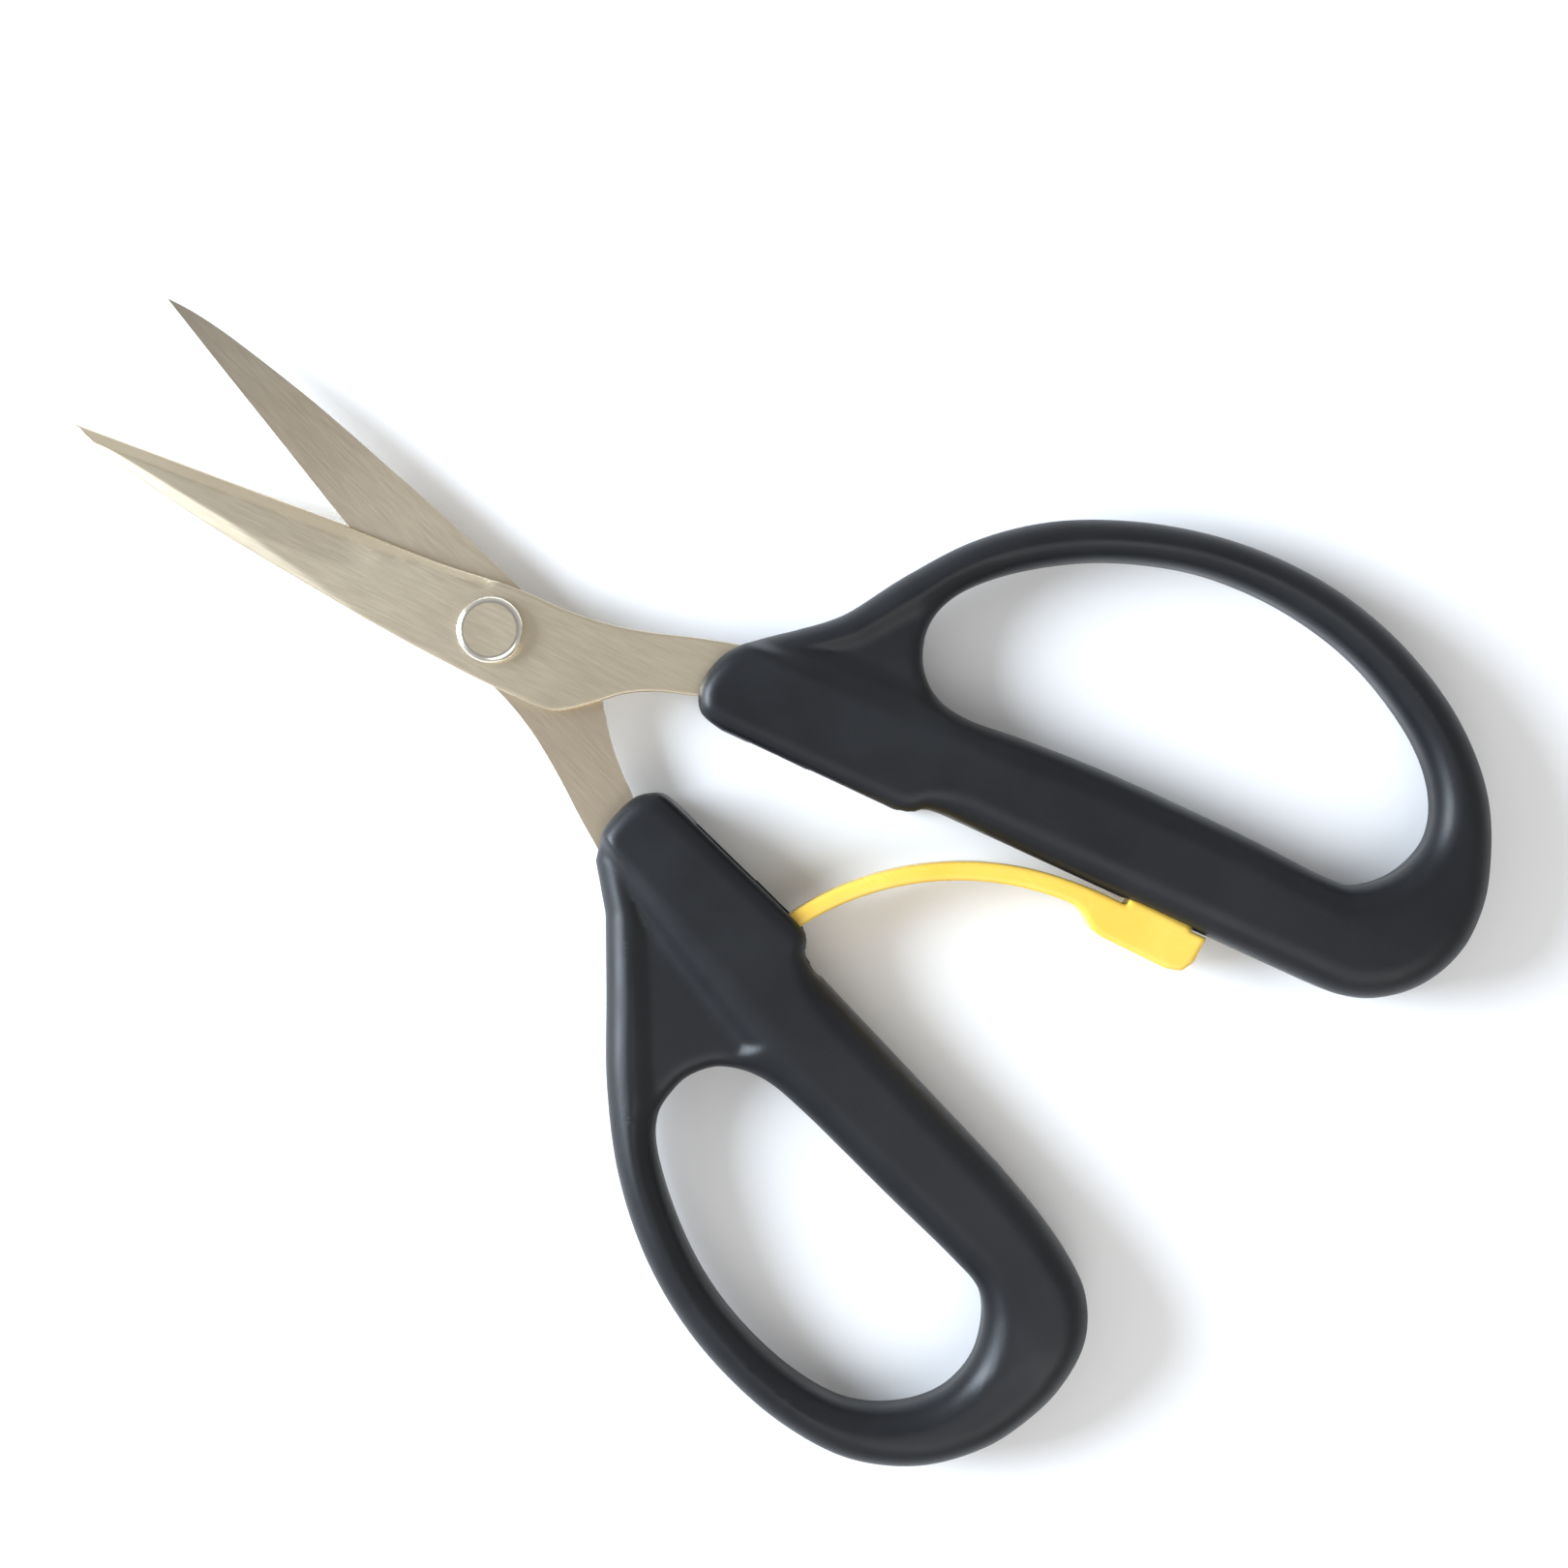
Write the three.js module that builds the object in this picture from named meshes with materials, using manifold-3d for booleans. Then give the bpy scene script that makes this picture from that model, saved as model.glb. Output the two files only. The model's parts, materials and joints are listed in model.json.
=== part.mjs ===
// Spring-loaded thread snips with closed-loop handles, lying flat in their open rest position.
// Two stamped steel halves cross at a rivet, each with a moulded plastic handle, and a moulded
// yellow leaf spring holds the handles apart. Millimetres, +Z up, +X towards the blade tips.
// Each half is drawn in its own closed frame: the pivot at the origin, the tip on +X and the
// plane between the two blades at z = 0. It is then turned by half the opening angle.
import * as THREE from "three";
import { mergeVertices } from "three/addons/utils/BufferGeometryUtils.js";
import Module from "manifold-3d";

const wasm = await Module();
wasm.setup();

// Driving dimensions
const openingAngle = THREE.MathUtils.degToRad(19.3);
const bladeLength = 48;
const bladeThickness = 1.8;
const runningGap = 0.05; // between flat faces that slide on each other
const mouldGap = 0.25; // between a tang or foot and the plastic round it
const barHalfHeight = 5; // the thick inner limb of each handle, above and below z = 0
const bandHalfHeight = 3.7; // the outer limb of each finger loop
const webHalfHeight = 3.1; // the recessed floor of the web by the nose
const rivetRadius = 2;
const headRadius = 3.45;
const springThickness = 2.1;
const springWidth = 5.4;

// Colours and finishes
const steel = new THREE.MeshStandardMaterial({ color: 0xb8ab92, roughness: 0.32, metalness: 1 });
const polishedSteel = new THREE.MeshStandardMaterial({ color: 0xc9c2ae, roughness: 0.18, metalness: 1 });
const blackPlastic = new THREE.MeshStandardMaterial({ color: 0x17191d, roughness: 0.5, metalness: 0 });
const yellowPlastic = new THREE.MeshStandardMaterial({ color: 0xf2c93a, roughness: 0.35, metalness: 0 });

// ---- solids ----

function toSolid(geometry) {
  const bare = geometry.clone();
  bare.deleteAttribute("normal");
  bare.deleteAttribute("uv");
  const merged = mergeVertices(bare, 1e-4);
  return new wasm.Manifold(
    new wasm.Mesh({
      numProp: 3,
      vertProperties: merged.attributes.position.array,
      triVerts: new Uint32Array(merged.index.array),
    }),
  );
}

function toMesh(name, solid, material) {
  const made = solid.getMesh();
  const geometry = new THREE.BufferGeometry();
  geometry.setAttribute("position", new THREE.BufferAttribute(made.vertProperties, 3));
  geometry.setIndex(new THREE.BufferAttribute(made.triVerts, 1));
  geometry.computeVertexNormals();
  const mesh = new THREE.Mesh(geometry, material);
  mesh.name = name;
  return mesh;
}

function prism(points, low, high) {
  const geometry = new THREE.ExtrudeGeometry(new THREE.Shape(points), {
    depth: high - low,
    bevelEnabled: false,
  });
  geometry.translate(0, 0, low);
  return toSolid(geometry);
}

function post(x, y, radius, low, high, sides = 24) {
  const geometry = new THREE.CylinderGeometry(radius, radius, high - low, sides);
  geometry.rotateX(Math.PI / 2);
  geometry.translate(x, y, (low + high) / 2);
  return toSolid(geometry);
}

function turned(profile, sides = 40) {
  const geometry = new THREE.LatheGeometry(
    profile.map(([r, z]) => new THREE.Vector2(r, z)),
    sides,
  );
  geometry.rotateX(Math.PI / 2);
  return toSolid(geometry);
}

// ---- outlines ----

const vectors = (pairs) => pairs.map(([x, y]) => new THREE.Vector2(x, y));

// A closed outline of alternating smooth runs, each a spline through its points; the runs are
// joined by straight lines.
function outline(runs, perSpan) {
  const points = [];
  for (const run of runs) {
    if (run.length < 3) {
      points.push(...vectors(run));
      continue;
    }
    points.push(...new THREE.SplineCurve(vectors(run)).getPoints(perSpan * (run.length - 1)));
  }
  return points;
}

function loop(pairs, perSpan) {
  const curve = new THREE.CatmullRomCurve3(
    pairs.map(([x, y]) => new THREE.Vector3(x, y, 0)),
    true,
    "centripetal",
  );
  return curve
    .getPoints(perSpan * pairs.length)
    .slice(0, -1)
    .map((p) => new THREE.Vector2(p.x, p.y));
}

// The outline moved outwards by a distance, for the pocket round a piece.
function grown(points, distance) {
  const side = Math.sign(THREE.ShapeUtils.area(points));
  return points.map((p, i) => {
    const before = points[(i + points.length - 1) % points.length];
    const after = points[(i + 1) % points.length];
    const a = p.clone().sub(before).normalize();
    const b = after.clone().sub(p).normalize();
    const out = new THREE.Vector2(a.y + b.y, -a.x - b.x).normalize().multiplyScalar(side);
    const widen = Math.min(2, 1 / Math.max(0.5, Math.sqrt((1 + a.dot(b)) / 2)));
    return p.clone().addScaledVector(out, distance * widen);
  });
}

// ---- blades ----

// Front blade, anticlockwise from the tip: spine, heel, tang and cutting edge.
const spine = [
  [bladeLength, 0], [45, 1.0], [40, 2.0], [30, 3.3], [20, 4.1], [10, 4.8], [0, 5.1],
];
const frontHeel = [
  [-5, 5.0], [-8, 4.9], [-9.9, 4.3], [-12.4, 2.3], [-15, -0.15], [-18, -1.9], [-21.8, -3.3],
  [-26, -5.4], [-32, -6.6],
];
const frontTangEnd = [[-46, -6.8], [-46, -11.6]];
const frontTangBack = [
  [-34, -11.9], [-29, -11.6], [-25.5, -10.6], [-20, -8.95], [-13, -6.55], [-7, -5.4],
  [-1.5, -5.1], [2.7, -4.65],
];
const cuttingEdge = [[8.7, -3.8], [20, -2.9], [30, -1.9], [40, -0.9]];

// The rear blade is drawn the same way and then flipped over. Only its heel and tang differ.
const rearHeel = [
  [-5, 5.1], [-8, 5.0], [-11, 4.3], [-14, 2.35], [-17, 0.5], [-20, -0.85], [-22.1, -1.6],
  [-26, -3.8], [-32, -4.8],
];
const rearTangEnd = [[-46, -5.3], [-46, -10.2]];
const rearTangBack = [
  [-33, -10.1], [-28, -9.3], [-23.7, -8], [-20, -7], [-15, -5.5], [-10, -4.35], [-5, -3.95],
  [0, -4.4], [2.7, -4.55],
];

const frontOutline = (perSpan) =>
  outline([spine, frontHeel, frontTangEnd, frontTangBack, cuttingEdge], perSpan);
const rearOutline = (perSpan) =>
  outline([spine, rearHeel, rearTangEnd, rearTangBack, cuttingEdge], perSpan);

const tangHoles = { front: [[-36, -9.4], [-43, -9.3]], rear: [[-36, -7.7], [-43, -7.8]] };
const holeRadius = 1.5;
const groundSlope = THREE.MathUtils.degToRad(24);
const edgeHeight = 0.3; // steel left at the cutting edge
const backHeight = 1.1; // steel left at the chamfered back

// A cutter above a plane through a line in the blade's outline, for a ground facet.
function facetCutter(from, to, height) {
  const run = Math.hypot(to[0] - from[0], to[1] - from[1]);
  const geometry = new THREE.BoxGeometry(run, 20, 10);
  geometry.translate(run / 2, 0, 5);
  geometry.rotateX(groundSlope);
  geometry.rotateZ(Math.atan2(to[1] - from[1], to[0] - from[0]));
  geometry.translate(from[0], from[1], height);
  return toSolid(geometry);
}

// A blade lies from z = runningGap up to its thickness, with its ground facets on top.
function bladeSolid(points, holes) {
  const top = runningGap + bladeThickness;
  let blade = prism(points, runningGap, top);
  blade = blade.subtract(facetCutter([9, -4.2], [bladeLength + 1, -0.25], edgeHeight));
  blade = blade.subtract(facetCutter([bladeLength + 1, 0.2], [22, 4.6], backHeight));
  blade = blade.subtract(post(0, 0, rivetRadius + 0.1, -5, 5, 32));
  for (const [x, y] of holes) blade = blade.subtract(post(x, y, holeRadius, -5, 5));
  return blade;
}

// ---- handles ----

// A flat moulding with rounded edges, the same above and below z = 0.
function moulding(points, holes, halfHeight, edgeRadius) {
  const shape = new THREE.Shape(points);
  for (const hole of holes) shape.holes.push(new THREE.Path(hole));
  const geometry = new THREE.ExtrudeGeometry(shape, {
    depth: 2 * (halfHeight - edgeRadius),
    bevelThickness: edgeRadius,
    bevelSize: edgeRadius,
    bevelOffset: -edgeRadius,
    bevelSegments: 3,
  });
  geometry.translate(0, 0, edgeRadius - halfHeight);
  return toSolid(geometry);
}

// Front handle (the large loop), in its closed frame: the rim anticlockwise from the nose.
const frontRim = [
  [[-25.6, -11.9], [-23.6, -9.9], [-22.4, -8], [-21.8, -5.6], [-22, -3.6], [-23.2, -1.9], [-25.6, -1.3]],
  [[-45.4, -1.85], [-47, -2.4], [-48.2, -3.3], [-50, -3.6]],
  [[-91, -4.8], [-94.5, -5.1], [-97.8, -6.3], [-101, -8.9], [-103.2, -12.6], [-104.1, -17],
    [-103.2, -22.7], [-99.5, -30], [-93.5, -35.7], [-86, -39.7], [-78, -42], [-70, -42.6],
    [-62, -41.7], [-54, -39.3], [-46.5, -35.5], [-40.4, -30.3], [-35.6, -23.8], [-31.8, -17.6],
    [-28, -13.9]],
];
const frontHole = [
  [-40.1, -20.9], [-41.1, -16.9], [-43.8, -14.3], [-47.7, -13.5], [-54, -14.25], [-64, -15.05],
  [-78, -15.4], [-88, -15.3], [-91.6, -16.1], [-94.6, -19.2], [-95.8, -23.6], [-94.2, -28],
  [-90, -32.1], [-83, -35.8], [-76, -37.7], [-68.5, -38.2], [-61, -37.2], [-53, -34.2],
  [-46.2, -29.8], [-41.7, -25.2],
];
const frontBarBack = [
  [-103, -13.2], [-101.5, -17], [-97, -18.2], [-92.5, -15.8], [-88, -15], [-78, -15.1],
  [-64, -14.75], [-54, -13.95], [-46, -13.2], [-38, -12.9], [-28.5, -12.7],
];
const frontWeb = [[-33.6, -15.6], [-38.4, -15.4], [-38.6, -17.4], [-38, -21.6], [-36, -19]];

// Rear handle (the thumb loop), in its closed frame: the rim clockwise from the nose.
const rearRim = [
  [[-24.4, 8.9], [-22.9, 6.4], [-22.45, 4], [-22.6, 1.4], [-23.6, -0.3], [-24.6, -0.9], [-26, -1.1]],
  [[-43.6, -1.6], [-45.2, -1.15], [-46.4, 0.2], [-48.4, 0.75]],
  [[-76, 1.2], [-82, 1.65], [-87.5, 2.55], [-91.5, 4.1], [-94.7, 7.3], [-96.3, 11.8], [-96.6, 16.5],
    [-95.6, 22.3], [-92.3, 28.4], [-87, 33], [-80.5, 35.4], [-73, 36.3], [-65, 35.8], [-57, 33.7],
    [-49, 29.75], [-41.5, 24.05], [-35, 17.75], [-29, 12]],
];
const rearHole = [
  [-46.8, 19.4], [-47.6, 22.7], [-50.5, 25.6], [-57, 28.9], [-63.5, 30.95], [-70, 31.65],
  [-76.5, 31.2], [-82, 29.5], [-85.9, 26.2], [-88.2, 21.9], [-88.2, 17.4], [-86.2, 13.7],
  [-83.3, 11.5], [-79, 11.2], [-70, 11.45], [-58, 11.65], [-52.4, 12.3], [-48.7, 14.3],
  [-47.1, 16.9],
];
const rearBarBack = [
  [-95.7, 12], [-94, 14.6], [-89.5, 14.2], [-86, 12.9], [-83, 11.2], [-79, 10.9], [-70, 11.15],
  [-58, 11.35], [-50, 11.3], [-38, 10.8], [-28, 10.2],
];
const rearWeb = [[-34.5, 13.2], [-45.6, 13.7], [-45.2, 19], [-44, 21.2], [-39, 17.2]];

// The bar follows the rim from the nose along the inner edge to the end corner, then returns.
const barOutline = (rim, back, last, perSpan) =>
  outline([rim[0], rim[1], rim[2].slice(0, last), back], perSpan);

function handleSolid(rim, hole, bar, web) {
  let handle = moulding(outline(rim, 2), [loop(hole, 2)], bandHalfHeight, 1.2);
  handle = handle.add(moulding(bar, [], barHalfHeight, 1));
  const floor = vectors(web);
  handle = handle.subtract(prism(floor, webHalfHeight, barHalfHeight));
  return handle.subtract(prism(floor, -barHalfHeight, -webHalfHeight));
}

// The cavity left in the plastic round a tang: wider than the steel all round, with the
// plastic pins that pass through the tang's holes still standing in it.
function tangCavity(points, holes, low) {
  const tangOnly = prism(vectors([[-60, -20], [-20, -20], [-20, 20], [-60, 20]]), -9, 9);
  const top = low + bladeThickness + 2 * mouldGap;
  let cavity = prism(grown(points, mouldGap), low, top).intersect(tangOnly);
  for (const [x, y] of holes) cavity = cavity.subtract(post(x, y, holeRadius - mouldGap, -9, 9));
  return cavity;
}

// ---- spring ----

// The leaf's centre line is one arc. It leaves the block almost along the bar and ends in the
// groove of the other handle.
const leafRoot = new THREE.Vector2(-66, -2.4);
const leafStart = THREE.MathUtils.degToRad(3.5);
const leafTurn = THREE.MathUtils.degToRad(56);
const leafRadius = 31;
const leafGap = 0.3; // between the leaf's root and the block it grows from

function leafPoints(steps) {
  const side = (offset, from, to) => {
    const points = [];
    for (let i = 0; i <= steps; i++) {
      const angle = leafStart + from + ((to - from) * i) / steps;
      const radius = leafRadius - offset;
      points.push(
        new THREE.Vector2(
          leafRoot.x - leafRadius * Math.sin(leafStart) + radius * Math.sin(angle),
          leafRoot.y + leafRadius * Math.cos(leafStart) - radius * Math.cos(angle),
        ),
      );
    }
    return points;
  };
  const half = springThickness / 2;
  const outer = side(-half, 0, leafTurn);
  const inner = side(half, 0, leafTurn).reverse();
  const tip = side(0, leafTurn + 0.6 / leafRadius, leafTurn + 0.6 / leafRadius).slice(0, 1);
  return [...outer, ...tip, ...inner];
}

// The block stands on the bar's inner edge and plugs into a square socket in it.
const blockOutline = [
  [-66.3, -3.4], [-66.3, -1.35], [-67.2, -1.2], [-67.9, -0.5], [-68.8, 0.25], [-70, 0.45],
  [-77.6, 0.4], [-79.2, -0.2], [-79.8, -1.6], [-79.8, -4.25], [-71.8, -3.95], [-71.6, -3.6],
];
const plugEdges = { left: -78, right: -71, deep: -8.4 };
const plugWidth = 4.6;

function box(x0, x1, y0, y1, z0, z1) {
  const geometry = new THREE.BoxGeometry(x1 - x0, y1 - y0, z1 - z0);
  geometry.translate((x0 + x1) / 2, (y0 + y1) / 2, (z0 + z1) / 2);
  return toSolid(geometry);
}

const halfWide = springWidth / 2;
const leaf = prism(leafPoints(16), -halfWide, halfWide).subtract(box(-70, leafRoot.x, -9, 9, -9, 9));
const foot = prism(vectors(blockOutline), -halfWide, halfWide).add(
  box(plugEdges.left, plugEdges.right, plugEdges.deep, -3, -plugWidth / 2, plugWidth / 2),
);
const socket = box(
  plugEdges.left - mouldGap, plugEdges.right + mouldGap, plugEdges.deep - mouldGap, 0,
  -plugWidth / 2 - mouldGap, plugWidth / 2 + mouldGap,
);

// The groove in the rear handle's stop face that the leaf's tip slides in, and the shallower
// relief opposite it that lets the leaf lie flat when the handles meet.
const grooveHalf = halfWide + 0.5;
const tipGroove = box(-49, -29, -4, 1, -grooveHalf, grooveHalf);
const leafRelief = box(-52, -29, -3.1, 1, -grooveHalf, grooveHalf);

// ---- rivet ----

const bladeTop = runningGap + bladeThickness;
const washerTop = -bladeTop - runningGap;
const washerThickness = 0.7;
const washerBottom = washerTop - washerThickness;
const rivet = turned([
  [0, washerBottom - 0.85], [1.9, washerBottom - 0.85], [2.6, washerBottom - 0.5],
  [2.7, washerBottom - 0.05], [rivetRadius, washerBottom - 0.05],
  [rivetRadius, bladeTop + 0.05], [headRadius, bladeTop + 0.05], [headRadius, bladeTop + 0.35],
  [3.3, bladeTop + 0.9], [2.85, bladeTop + 1.45], [2.3, bladeTop + 1.7], [0, bladeTop + 1.7],
]);
const washer = post(0, 0, 3.6, washerBottom, washerTop, 40).subtract(
  post(0, 0, rivetRadius + 0.1, -9, 9, 40),
);

// ---- assembly ----

const frontPlate = frontOutline(3);
const rearPlate = rearOutline(3);

const frontHandle = handleSolid(
  frontRim, frontHole, barOutline(frontRim, frontBarBack, 5, 2), frontWeb,
)
  .subtract(tangCavity(frontPlate, tangHoles.front, runningGap - mouldGap))
  .subtract(socket)
  .subtract(leafRelief);
const rearHandle = handleSolid(rearRim, rearHole, barOutline(rearRim, rearBarBack, 6, 2), rearWeb)
  .subtract(
    tangCavity(
      rearPlate.map((p) => new THREE.Vector2(p.x, -p.y)).reverse(),
      tangHoles.rear.map(([x, y]) => [x, -y]),
      -bladeTop - mouldGap,
    ),
  )
  .subtract(tipGroove);

const rearBlade = toMesh("rear_blade", bladeSolid(rearPlate, tangHoles.rear), steel.clone());
rearBlade.geometry.rotateX(Math.PI);

const frontHalf = new THREE.Group();
frontHalf.name = "front_half";
frontHalf.add(
  toMesh("front_blade", bladeSolid(frontPlate, tangHoles.front), steel.clone()),
  toMesh("front_handle", frontHandle, blackPlastic.clone()),
  toMesh("pivot_rivet", rivet, polishedSteel.clone()),
  toMesh("rivet_washer", washer, polishedSteel.clone()),
  toMesh("spring_foot", foot, yellowPlastic.clone()),
  toMesh("spring_leaf", leaf, yellowPlastic.clone()),
);
frontHalf.rotation.z = openingAngle / 2;

const rearHalf = new THREE.Group();
rearHalf.name = "rear_half";
rearHalf.add(rearBlade, toMesh("rear_handle", rearHandle, blackPlastic.clone()));
rearHalf.rotation.z = -openingAngle / 2;

// The origin is the bottom centre of the whole part at rest.
const snips = new THREE.Group();
snips.name = "thread_snips";
snips.add(frontHalf, rearHalf);
snips.updateMatrixWorld(true);
const extent = new THREE.Box3().setFromObject(snips, true);
const middle = extent.getCenter(new THREE.Vector3());
for (const half of [frontHalf, rearHalf]) {
  half.position.set(-middle.x, -middle.y, -extent.min.z);
}

export default snips;
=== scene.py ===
"""Spring-loaded thread snips lying open on a pale table.

Two steel blades cross at a rivet. Each has a moulded handle, and one yellow moulding, a block
with a curved leaf, holds the handles apart. Shapes are drawn in millimetres in each half's closed
frame, with the pivot at the origin and +X towards the tips, and are then turned and moved to where
the CAD frame's pivot joint says.
"""

import json
import math

import bpy
import numpy as np
from mathutils import Matrix, Vector


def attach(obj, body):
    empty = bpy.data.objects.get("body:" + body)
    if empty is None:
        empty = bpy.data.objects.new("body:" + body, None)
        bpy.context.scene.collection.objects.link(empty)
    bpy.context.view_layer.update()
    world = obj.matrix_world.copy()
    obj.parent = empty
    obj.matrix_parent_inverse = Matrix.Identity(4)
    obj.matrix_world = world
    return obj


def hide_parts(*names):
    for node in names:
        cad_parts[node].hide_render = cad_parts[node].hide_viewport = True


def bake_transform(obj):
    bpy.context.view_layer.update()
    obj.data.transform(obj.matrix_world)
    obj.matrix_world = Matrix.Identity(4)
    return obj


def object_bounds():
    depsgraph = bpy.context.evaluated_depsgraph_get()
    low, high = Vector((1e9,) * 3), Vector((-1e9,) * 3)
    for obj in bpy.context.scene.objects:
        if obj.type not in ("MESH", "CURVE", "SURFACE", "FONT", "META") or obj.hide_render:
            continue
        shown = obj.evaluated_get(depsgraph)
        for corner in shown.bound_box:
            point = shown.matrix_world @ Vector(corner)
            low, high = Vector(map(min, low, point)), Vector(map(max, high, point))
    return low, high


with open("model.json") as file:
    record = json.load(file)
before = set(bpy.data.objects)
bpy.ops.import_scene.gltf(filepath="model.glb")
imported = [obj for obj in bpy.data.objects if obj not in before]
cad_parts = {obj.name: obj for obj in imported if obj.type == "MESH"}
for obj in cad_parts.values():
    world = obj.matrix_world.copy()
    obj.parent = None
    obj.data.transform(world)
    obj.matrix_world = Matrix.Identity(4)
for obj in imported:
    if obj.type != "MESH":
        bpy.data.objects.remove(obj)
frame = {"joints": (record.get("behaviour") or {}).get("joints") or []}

cad_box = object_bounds()

MM = 0.001
joints = {joint["name"]: joint for joint in frame["joints"]}
PIVOT = Vector(joints["pivot"]["pos_m"])
HALF_OPENING = math.radians(joints["pivot"]["range_deg"][1]) / 2
FRONT_PLACE = Matrix.Translation(PIVOT) @ Matrix.Rotation(HALF_OPENING, 4, "Z") @ Matrix.Scale(MM, 4)
REAR_PLACE = Matrix.Translation(PIVOT) @ Matrix.Rotation(-HALF_OPENING, 4, "Z") @ Matrix.Scale(MM, 4)

# Driving sizes, in millimetres
BLADE_LENGTH = 48.0
BLADE_THICKNESS = 1.8
RUNNING_GAP = 0.05  # from the plane where the blades meet to each blade
BAR_HALF_HEIGHT = 5.0
BAND_HALF_HEIGHT = 4.1
WEB_HALF_HEIGHT = 3.2
HANDLE_CELL = 0.34
GRID_MARGIN = 3.4  # in cells, and not whole, so that no flat face lies on the grid
SPRING_CELL = 0.22
SPRING_HALF_WIDTH = 2.7
LEAF_THICKNESS = 2.1


# ---- outlines ----

def spline(points, per_span=8, closed=False):
    """A Catmull-Rom curve through points, as an array of points along it."""
    given = np.array(points, float)
    if closed:
        padded = np.vstack([given[-1], given, given[0], given[1]])
    else:
        padded = np.vstack([given[0], given, given[-1]])
    t = np.linspace(0, 1, per_span, endpoint=False)[:, None]
    spans = []
    for a, b, c, d in zip(padded[:-3], padded[1:-2], padded[2:-1], padded[3:]):
        squared = 2 * a - 5 * b + 4 * c - d
        cubed = 3 * b - a - 3 * c + d
        spans.append(0.5 * (2 * b + (c - a) * t + squared * t**2 + cubed * t**3))
    if not closed:
        spans.append(given[-1:])
    return np.vstack(spans)


def outline(runs):
    """Smooth runs joined by straight lines into one closed outline."""
    return np.vstack([spline(run) if len(run) > 2 else np.array(run, float) for run in runs])


def signed_distance(points, path):
    """Distance from each point to a closed path, negative inside it."""
    nearest = np.full(len(points), np.inf)
    inside = np.zeros(len(points), bool)
    x, y = points.T
    for (ax, ay), (bx, by) in zip(path, np.roll(path, -1, axis=0)):
        dx, dy = bx - ax, by - ay
        length = dx * dx + dy * dy
        if length < 1e-12:
            continue
        along = np.clip(((x - ax) * dx + (y - ay) * dy) / length, 0, 1)
        nearest = np.minimum(nearest, np.hypot(x - ax - along * dx, y - ay - along * dy))
        if ay != by:
            inside ^= ((ay > y) != (by > y)) & (x < ax + (y - ay) * dx / dy)
    return np.where(inside, -nearest, nearest)


def smoothstep(low, high, value):
    t = np.clip((value - low) / (high - low), 0, 1)
    return t * t * (3 - 2 * t)


# ---- meshes ----

def make_object(name, vertices, faces, place):
    mesh = bpy.data.meshes.new(name)
    mesh.from_pydata([tuple(v) for v in vertices], [], [tuple(int(i) for i in f) for f in faces])
    mesh.transform(place)
    mesh.validate()
    mesh.update()
    mesh.shade_smooth()
    obj = bpy.data.objects.new(name, mesh)
    bpy.context.scene.collection.objects.link(obj)
    return obj


def surface_of(field, low, cell, rounds=6):
    """The closed quad surface where a sampled field is zero, one vertex to a crossed cell."""
    inside = field < 0
    shape = np.array(field.shape)
    total, count, quads = np.zeros((field.size, 3)), np.zeros(field.size), []
    stride = np.array([shape[1] * shape[2], shape[2], 1])
    for axis in range(3):
        step = np.eye(3, dtype=int)[axis]
        first = tuple(slice(0, n - s) for n, s in zip(shape, step))
        second = tuple(slice(s, None) for s in step)
        base = np.argwhere(inside[first] != inside[second])
        f0, f1 = field[tuple(base.T)], field[tuple((base + step).T)]
        crossing = base + (f0 / (f0 - f1))[:, None] * step
        side_a, side_b = np.eye(3, dtype=int)[(axis + 1) % 3], np.eye(3, dtype=int)[(axis + 2) % 3]
        ring = []
        for a, b in ((0, 0), (1, 0), (1, 1), (0, 1)):
            cells = (base - a * side_a - b * side_b) @ stride
            np.add.at(total, cells, crossing)
            np.add.at(count, cells, 1)
            ring.append(cells)
        quad = np.stack(ring, axis=1)
        flip = f0 > 0
        quad[flip] = quad[flip][:, ::-1]
        quads.append(quad)
    quads = np.vstack(quads)
    used, faces = np.unique(quads, return_inverse=True)
    faces = faces.reshape(quads.shape)
    vertices = total[used] / count[used][:, None] * cell + low
    return smoothed(vertices, faces, rounds), faces


def smoothed(vertices, faces, rounds):
    """Evens the surface without shrinking it: each round pulls in and then pushes out."""
    pairs = np.vstack([faces[:, [i, (i + 1) % 4]] for i in range(4)])
    degree = np.bincount(pairs[:, 0], minlength=len(vertices))[:, None]
    for amount in (0.5, -0.52) * rounds:
        around = np.zeros_like(vertices)
        np.add.at(around, pairs[:, 0], vertices[pairs[:, 1]])
        vertices = vertices + amount * (around / degree - vertices)
    return vertices


def slab_field(low, high, cell, height_and_radius, plan_distance, cuts=()):
    """A slab about z = 0 with rounded edges, as a sampled distance.

    Its half height and edge radius may vary over x and y. Each cut is a box that is taken out of it:
    x from, x to, y from, y to, and half its height.
    """
    xs, ys, zs = (np.arange(a, b + cell, cell) for a, b in zip(low, high))
    x, y = np.meshgrid(xs, ys, indexing="ij")
    flat = np.column_stack([x.ravel(), y.ravel()])
    plan = plan_distance(flat).reshape(x.shape)[:, :, None]
    height, radius = (
        np.broadcast_to(values, len(flat)).reshape(x.shape)[:, :, None] for values in height_and_radius(flat)
    )
    above = np.abs(zs)[None, None, :]
    out = plan + radius
    up = above - height + radius
    field = np.hypot(np.maximum(out, 0), np.maximum(up, 0)) + np.minimum(np.maximum(out, up), 0) - radius
    for x0, x1, y0, y1, half in cuts:
        sides = np.maximum.reduce([x0 - x, x - x1, y0 - y, y - y1])[:, :, None]
        field = np.maximum(field, -np.maximum(sides, above - half))
    return field


# ---- handles ----

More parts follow.
